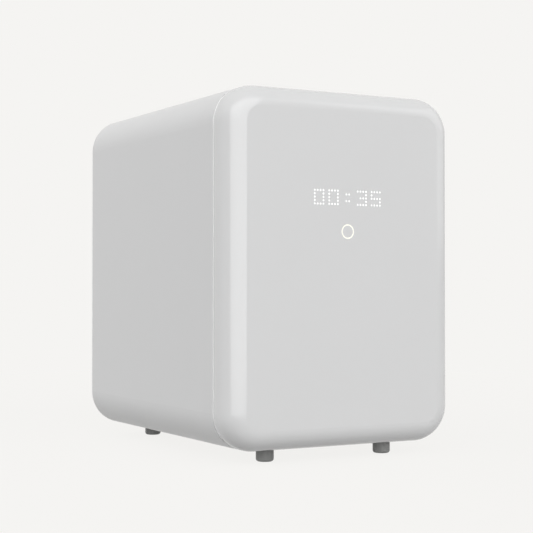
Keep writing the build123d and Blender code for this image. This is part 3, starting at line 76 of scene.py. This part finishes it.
def place(tree, stretch=(1, 1, 1)):
    """The object's own coordinates, stretched."""
    coordinates = node(tree, "ShaderNodeTexCoord")
    mapping = node(tree, "ShaderNodeMapping", Scale=stretch)
    join(tree, (coordinates.outputs["Object"], mapping.inputs["Vector"]))
    return mapping.outputs["Vector"]


def noise(tree, scale, detail, stretch=(1, 1, 1), rough=0.5):
    """Noise in the object's own coordinates, with so many grains a metre."""
    made = node(tree, "ShaderNodeTexNoise", Scale=scale, Detail=detail, Roughness=rough)
    join(tree, (place(tree, stretch), made.inputs["Vector"]))
    return made.outputs["Fac"]


def ramp(tree, value, low, high, start=0.0, end=1.0):
    """Maps a value between start and end onto the colours low and high."""
    made = node(tree, "ShaderNodeValToRGB")
    first, last = made.color_ramp.elements
    first.position, last.position = start, end
    first.color, last.color = (*low, 1), (*high, 1)
    join(tree, (value, made.inputs["Fac"]))
    return made.outputs["Color"]


def spread(tree, value, low, high, start=0.0, end=1.0):
    """Maps a value between start and end onto the numbers low and high."""
    made = node(tree, "ShaderNodeMapRange")
    for socket, number in zip(("From Min", "From Max", "To Min", "To Max"), (start, end, low, high)):
        made.inputs[socket].default_value = number
    join(tree, (value, made.inputs["Value"]))
    return made.outputs["Result"]


def mix(tree, factor, first, second, **settings):
    """Mixes two values or colours. Each of them, and the factor, is a socket or a plain value."""
    made = node(tree, "ShaderNodeMix", **settings)
    first_number, second_number, out_number = MIX_SOCKETS[made.data_type]
    for source, number in ((factor, 0), (first, first_number), (second, second_number)):
        if isinstance(source, bpy.types.NodeSocket):
            join(tree, (source, made.inputs[number]))
        else:
            made.inputs[number].default_value = source
    return made.outputs[out_number]


def bump(tree, shader, height, depth, strength):
    """Relief of the given depth in metres."""
    made = node(tree, "ShaderNodeBump", Strength=strength, Distance=depth)
    join(tree, (height, made.inputs["Height"]), (made.outputs["Normal"], shader.inputs["Normal"]))


def shade(color, factor):
    return tuple(c * factor for c in color)


def drift(tree, shader, color, gloss, tone_value, tones, gloss_value, glosses, span=NOISE_SPAN):
    """Drives the shader's colour and roughness by values, each between two factors of the plain one."""
    tone = ramp(tree, tone_value, shade(color, tones[0]), shade(color, tones[1]), *span)
    roughness = spread(tree, gloss_value, gloss * glosses[0], gloss * glosses[1], *span)
    join(tree, (tone, shader.inputs["Base Color"]), (roughness, shader.inputs["Roughness"]))


def moulded(name, color, roughness, grain, mottle=0.008, grain_depth=0.00002, **values):
    """Moulded plastic: a slight drift of tone, a drift of gloss and a fine grain."""
    made, tree, shader = material(name, **values)
    drift(tree, shader, color, roughness,
          noise(tree, scale=9, detail=3), (1 - mottle, 1 + mottle),
          noise(tree, scale=23, detail=2), (0.85, 1.15), span=(0.0, 1.0))
    bump(tree, shader, noise(tree, scale=grain, detail=2), grain_depth, strength=0.5)
    return made


def lipped_shell(name, color, roughness, grain, **values):
    """Shell plastic whose chamfered front lip is glossier than the rest and painted lighter, a painted
    highlight along the seam.
    """
    made = moulded(name, color, roughness, grain, **values)
    tree = made.node_tree
    shader = tree.nodes["Principled BSDF"]
    axes = node(tree, "ShaderNodeSeparateXYZ")
    join(tree, (place(tree), axes.inputs[0]))
    lip = spread(tree, axes.outputs["Y"], 1.0, 0.0, LIP_EDGE_Y, LIP_EDGE_Y + LIP_BLEND)
    tone, gloss = (shader.inputs[socket].links[0].from_socket for socket in ("Base Color", "Roughness"))
    # The lip's lighter colour is a painted highlight along the seam; its lower roughness is real gloss
    join(tree, (mix(tree, lip, tone, (*LIP_PAINTED_HIGHLIGHT, 1), data_type="RGBA"), shader.inputs["Base Color"]),
         (mix(tree, lip, gloss, LIP_ROUGHNESS, data_type="FLOAT"), shader.inputs["Roughness"]))
    return made


def brushed(name, color, roughness, stretch):
    """Steel with brush lines along the axis of the least stretch."""
    made, tree, shader = material(name, Metallic=1.0)
    streaks = noise(tree, scale=1, detail=6, stretch=stretch, rough=0.65)
    drift(tree, shader, color, roughness, streaks, (0.94, 1.05), streaks, (0.8, 1.25))
    tone = shader.inputs["Base Color"].links[0].from_socket
    clouds = ramp(tree, noise(tree, scale=14, detail=2), CLOUD_DARK, CLOUD_LIGHT, *NOISE_SPAN)
    join(tree, (mix(tree, CLOUD_SHARE, tone, clouds, data_type="RGBA", blend_type="MULTIPLY"),
                shader.inputs["Base Color"]))
    bump(tree, shader, streaks, depth=0.00001, strength=0.25)
    return made


def plated(name, color, roughness, patches=60):
    """Plated or polished metal with faint patches in its gloss."""
    made, tree, shader = material(name, Metallic=1.0)
    cloud = noise(tree, scale=patches, detail=4)
    drift(tree, shader, color, roughness, cloud, (0.92, 1.04), cloud, (0.75, 1.3))
    bump(tree, shader, noise(tree, scale=700, detail=2), depth=0.00001, strength=0.3)
    return made


def galvanised(name, color):
    """Zinc-plated sheet with its small crystals."""
    made, tree, shader = material(name, Metallic=0.85)
    cells = node(tree, "ShaderNodeTexVoronoi", Scale=120.0)
    grey = node(tree, "ShaderNodeRGBToBW")
    join(tree, (place(tree), cells.inputs["Vector"]), (cells.outputs["Color"], grey.inputs["Color"]))
    crystals = grey.outputs["Val"]
    join(tree, (ramp(tree, crystals, shade(color, 0.9), shade(color, 1.06)), shader.inputs["Base Color"]),
         (spread(tree, crystals, low=0.34, high=0.5), shader.inputs["Roughness"]))
    return made


def rubber(name, color, roughness):
    """Matt rubber or silicone with a fine skin."""
    made, tree, shader = material(name)
    drift(tree, shader, color, roughness,
          noise(tree, scale=40, detail=3), (0.9, 1.1), noise(tree, scale=90, detail=2), (0.92, 1.08))
    bump(tree, shader, noise(tree, scale=1500, detail=3), depth=0.00004, strength=0.6)
    return made


def circuit(name, color, copper):
    """Solder mask over a grid of tracks."""
    made, tree, shader = material(name, Roughness=0.35)
    tracks = node(tree, "ShaderNodeTexBrick", Scale=1.0, offset=0.37, squash=1.0)
    for socket, number in (("Mortar Size", 0.0005), ("Brick Width", 0.0143), ("Row Height", 0.0031)):
        tracks.inputs[socket].default_value = number
    for socket, tone in (("Color1", color), ("Color2", shade(color, 0.93)), ("Mortar", copper)):
        tracks.inputs[socket].default_value = (*tone, 1)
    turned = node(tree, "ShaderNodeMapping", Rotation=(math.radians(90), 0, 0))
    join(tree, (place(tree), turned.inputs["Vector"]), (turned.outputs["Vector"], tracks.inputs["Vector"]),
         (tracks.outputs["Color"], shader.inputs["Base Color"]))
    bump(tree, shader, tracks.outputs["Fac"], depth=0.00003, strength=0.5)
    return made


def quartz(name, color):
    """Clear lamp window with a faint drift of gloss."""
    made, tree, shader = material(name, Base_Color=color, IOR=QUARTZ_IOR, Transmission_Weight=1.0)
    haze = spread(tree, noise(tree, scale=55, detail=3), 0.02, 0.06, *NOISE_SPAN)
    join(tree, (haze, shader.inputs["Roughness"]))
    return made


def pleated_paper(name, color):
    """Filter paper with folds and fibres, and painted shade that darkens the troughs of the folds."""
    made, tree, shader = material(name, Roughness=0.9)
    waves = node(tree, "ShaderNodeTexWave", Scale=75.0, Distortion=0.3, Detail=1.0, bands_direction="X")
    join(tree, (place(tree), waves.inputs["Vector"]))
    folds = waves.outputs["Fac"]
    height = node(tree, "ShaderNodeMath", operation="MULTIPLY_ADD")
    height.inputs[1].default_value = FIBRE_SHARE
    fibres = noise(tree, scale=900, detail=4, stretch=(1, 1, 0.25))
    # Painted shade: the paper's colour darkens towards the troughs of the folds
    join(tree, (fibres, height.inputs[0]), (folds, height.inputs[2]),
         (ramp(tree, folds, shade(color, 0.62), color), shader.inputs["Base Color"]))
    bump(tree, shader, height.outputs["Value"], depth=0.0006, strength=0.8)
    return made


def lit(name, color, strength, soft=0.0):
    """A light guide that glows, softly uneven where soft isn't zero."""
    made, tree, shader = material(
        name, Roughness=0.3, Emission_Strength=strength, Emission_Color=color, Base_Color=GUIDE_BASE)
    if soft:
        glow = ramp(tree, noise(tree, scale=160, detail=2), shade(color, 1 - soft), color, *NOISE_SPAN)
        join(tree, (glow, shader.inputs["Emission Color"]))
    return made


# Slot of the frame, the maker of its material and the maker's values
LOOKS = {
    "cabinet_shell": (lipped_shell, dict(color=SHELL,
                                         roughness=CASING_ROUGHNESS, grain=800, IOR=CASING_IOR)),
    "door_shell": (moulded, dict(color=SHELL, roughness=SHELL_ROUGHNESS, grain=800, IOR=SHELL_IOR)),
    "inner_moulding": (moulded, dict(color=(0.60, 0.60, 0.595),
                                     roughness=0.42, grain=750, grain_depth=0.00003)),
    "stainless": (brushed, dict(color=(0.6, 0.6, 0.59), roughness=0.3, stretch=(11, 11, 2100))),
    "rear_plastic": (moulded, dict(color=(0.56, 0.56, 0.555),
                                   roughness=0.48, grain=600, grain_depth=0.00005)),
    "filter_paper": (pleated_paper, dict(color=(0.72, 0.71, 0.66))),
    "zinc_steel": (galvanised, dict(color=(0.58, 0.59, 0.6))),
    "foot_rubber": (rubber, dict(color=(0.235, 0.236, 0.231), roughness=0.6)),
    "seal_silicone": (rubber, dict(color=(0.42, 0.42, 0.415), roughness=0.6)),
    "circuit_board": (circuit, dict(color=(0.015, 0.12, 0.045), copper=(0.05, 0.22, 0.09))),
    "lamp_board": (moulded, dict(color=(0.74, 0.74, 0.72), roughness=0.4, grain=500)),
    "lamp_holder": (moulded, dict(color=(0.55, 0.55, 0.54), roughness=0.45, grain=700)),
    "lamp_led": (moulded, dict(color=(0.72, 0.7, 0.5), roughness=0.12, grain=900, Coat_Weight=0.8)),
    "lamp_window": (quartz, dict(color=(0.96, 0.98, 1.0))),
    "component_black": (moulded, dict(color=(0.025, 0.025, 0.027),
                                      roughness=0.5, grain=900, mottle=0.1)),
    "brass_standoff": (plated, dict(color=(0.72, 0.5, 0.2), roughness=0.28)),
    "supply_case": (galvanised, dict(color=(0.52, 0.53, 0.54))),
    "inlet_black": (moulded, dict(color=(0.02, 0.02, 0.02), roughness=0.42, grain=900, mottle=0.1)),
    "brass_pin": (plated, dict(color=(0.74, 0.55, 0.27), roughness=0.2)),
    "hinge_steel": (brushed, dict(color=(0.5, 0.5, 0.5), roughness=0.36, stretch=(300, 300, 30))),
    "bush_plastic": (moulded, dict(color=(0.7, 0.7, 0.66), roughness=0.4, grain=800)),
    "magnet": (plated, dict(color=(0.6, 0.6, 0.59), roughness=0.14)),
    "stainless_wire": (plated, dict(color=(0.66, 0.66, 0.655), roughness=0.16, patches=35)),
    "duct_plastic": (moulded, dict(color=(0.035, 0.035, 0.036), roughness=0.5, grain=600, mottle=0.06)),
    "heater": (brushed, dict(color=(0.6, 0.6, 0.6), roughness=0.35, stretch=(40, 700, 40))),
    "fan_plastic": (moulded, dict(color=(0.018, 0.018, 0.019), roughness=0.45, grain=700, mottle=0.08)),
    "bearing_bronze": (plated, dict(color=(0.42, 0.27, 0.13), roughness=0.4, patches=200)),
    "display_glow": (lit, dict(color=(1.0, 1.0, 1.0), strength=0.98)),
    "display_dark": (moulded, dict(color=shade(SHELL, 0.995),
                                   roughness=SHELL_ROUGHNESS, grain=900, IOR=SHELL_IOR)),
    "ring_glow": (lit, dict(color=(0.97, 0.96, 0.86), strength=0.99, soft=0.03)),
    "key_cap": (moulded, dict(color=SHELL, roughness=SHELL_ROUGHNESS, grain=900, IOR=SHELL_IOR)),
    "screw_steel": (plated, dict(color=(0.55, 0.55, 0.54), roughness=0.3, patches=160)),
}


def dress(frame):
    """Gives each piece of the frame the material of its slot."""
    made = {name: maker(name, **values) for name, (maker, values) in LOOKS.items()}
    for part in frame["record"]["subparts"]:
        shape = frame["nodes"][part["node"]]
        shape.data.materials.clear()
        shape.data.materials.append(made[part["material_slot"]])


def seen_as_background(tree):
    """One for camera, glossy and transmission rays, zero for the rest."""
    path = node(tree, "ShaderNodeLightPath")
    total = path.outputs["Is Camera Ray"]
    for name in ("Is Glossy Ray", "Is Transmission Ray"):
        top = node(tree, "ShaderNodeMath", operation="MAXIMUM")
        join(tree, (total, top.inputs[0]), (path.outputs[name], top.inputs[1]))
        total = top.outputs["Value"]
    return total


def mix_shaders(tree, factor, first, second):
    made = node(tree, "ShaderNodeMixShader")
    join(tree, (factor, made.inputs["Fac"]), (first, made.inputs[1]), (second, made.inputs[2]))
    return made.outputs[0]


def make_world():
    world = bpy.data.worlds.new("studio")
    bpy.context.scene.world = world
    world.use_nodes = True
    tree = world.node_tree
    tree.nodes.clear()
    seen = node(tree, "ShaderNodeBackground", Color=BACKGROUND, Strength=1.0)
    light = node(tree, "ShaderNodeBackground", Color=WHITE, Strength=WORLD_LIGHT)
    out = node(tree, "ShaderNodeOutputWorld")
    mixed = mix_shaders(tree, seen_as_background(tree), light.outputs[0], seen.outputs[0])
    join(tree, (mixed, out.inputs["Surface"]))


def make_floor():
    """Pale floor that fades into the background and keeps the object's shadow."""
    bpy.ops.mesh.primitive_plane_add(size=FLOOR_SIZE, location=(0, 0, 0))
    floor = bpy.context.object
    floor.name = "floor"
    made = bpy.data.materials.new("floor")
    made.use_nodes = True
    tree = made.node_tree
    tree.nodes.clear()
    shadow = node(tree, "ShaderNodeBsdfDiffuse", Color=(*shade(BACKGROUND[:3], FLOOR_SHADOW), 1))
    glow = node(tree, "ShaderNodeEmission", Color=BACKGROUND, Strength=1 - FLOOR_SHADOW)
    near = node(tree, "ShaderNodeAddShader")
    far = node(tree, "ShaderNodeEmission", Color=BACKGROUND, Strength=1.0)
    coordinates = node(tree, "ShaderNodeTexCoord")
    distance = node(tree, "ShaderNodeVectorMath", operation="LENGTH")
    bounce = node(tree, "ShaderNodeEmission", Color=WHITE, Strength=FLOOR_BOUNCE)
    out = node(tree, "ShaderNodeOutputMaterial")
    join(tree, (shadow.outputs[0], near.inputs[0]), (glow.outputs[0], near.inputs[1]),
         (coordinates.outputs["Object"], distance.inputs[0]))
    fade = spread(tree, distance.outputs["Value"], 0.0, 1.0, *FLOOR_FADE)
    seen = mix_shaders(tree, fade, near.outputs[0], far.outputs[0])
    mixed = mix_shaders(tree, seen_as_background(tree), bounce.outputs[0], seen)
    join(tree, (mixed, out.inputs["Surface"]))
    floor.data.materials.append(made)
    floor.visible_glossy = False


def softbox(name, azimuths, elevations, radiance, mirrored=True):
    """A far rectangle of light that fills the given angles. Azimuth is from -Y towards +X, in degrees.

    Lights that metal and gloss don't mirror stand further out, because lights in one place hide each other.
    """
    distance = LAMP_DISTANCE + (0 if mirrored else FILL_STEP_BACK)
    azimuth, elevation = (math.radians(sum(pair) / 2) for pair in (azimuths, elevations))
    width, height = (2 * distance * math.tan(math.radians(pair[1] - pair[0]) / 2)
                     for pair in (azimuths, elevations))
    way = Vector((math.sin(azimuth) * math.cos(elevation), -math.cos(azimuth) * math.cos(elevation),
                  math.sin(elevation)))
    data = bpy.data.lights.new(name, "AREA")
    data.shape, data.size, data.size_y = "RECTANGLE", width, height
    data.energy = radiance * math.pi * width * height
    lamp = bpy.data.objects.new(name, data)
    bpy.context.scene.collection.objects.link(lamp)
    lamp.location = LAMP_TARGET + way * distance
    lamp.rotation_euler = way.to_track_quat("Z", "Y").to_euler()
    lamp.visible_camera = False
    lamp.visible_glossy = mirrored


def make_lights():
    front, right = ((-61.0, 24.0), (-8.0, 54.0)), ((39, 88), (2, 42))
    softbox("front_box", *front, radiance=1.05)
    softbox("front_fill", *front, radiance=1.2, mirrored=False)
    softbox("left_fill", (-150, -90), (0, 50), radiance=1.22, mirrored=False)
    softbox("right_box", *right, radiance=0.5)
    softbox("right_fill", *right, radiance=0.6, mirrored=False)
    softbox("rear_fill", (130, 230), (0, 40), radiance=1.1, mirrored=False)


def make_camera():
    data = bpy.data.cameras.new("camera")
    data.lens, data.sensor_width = CAMERA_LENS, CAMERA_SENSOR
    camera = bpy.data.objects.new("camera", data)
    bpy.context.scene.collection.objects.link(camera)
    camera.location = CAMERA_PLACE
    forward = Vector((math.sin(CAMERA_YAW) * math.cos(CAMERA_PITCH),
                      math.cos(CAMERA_YAW) * math.cos(CAMERA_PITCH), math.sin(CAMERA_PITCH)))
    camera.rotation_euler = forward.to_track_quat("-Z", "Y").to_euler()
    bpy.context.scene.camera = camera


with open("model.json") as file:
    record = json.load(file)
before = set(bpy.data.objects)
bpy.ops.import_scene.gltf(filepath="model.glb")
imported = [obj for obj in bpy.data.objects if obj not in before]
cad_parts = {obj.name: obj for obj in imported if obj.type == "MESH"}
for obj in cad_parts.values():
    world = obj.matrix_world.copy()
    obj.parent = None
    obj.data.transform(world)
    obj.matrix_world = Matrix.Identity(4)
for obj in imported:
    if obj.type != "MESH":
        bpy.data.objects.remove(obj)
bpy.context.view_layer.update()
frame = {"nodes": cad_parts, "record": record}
bpy.context.scene.view_settings.view_transform = "Standard"
dress(frame)
make_world()
make_floor()
make_lights()
make_camera()
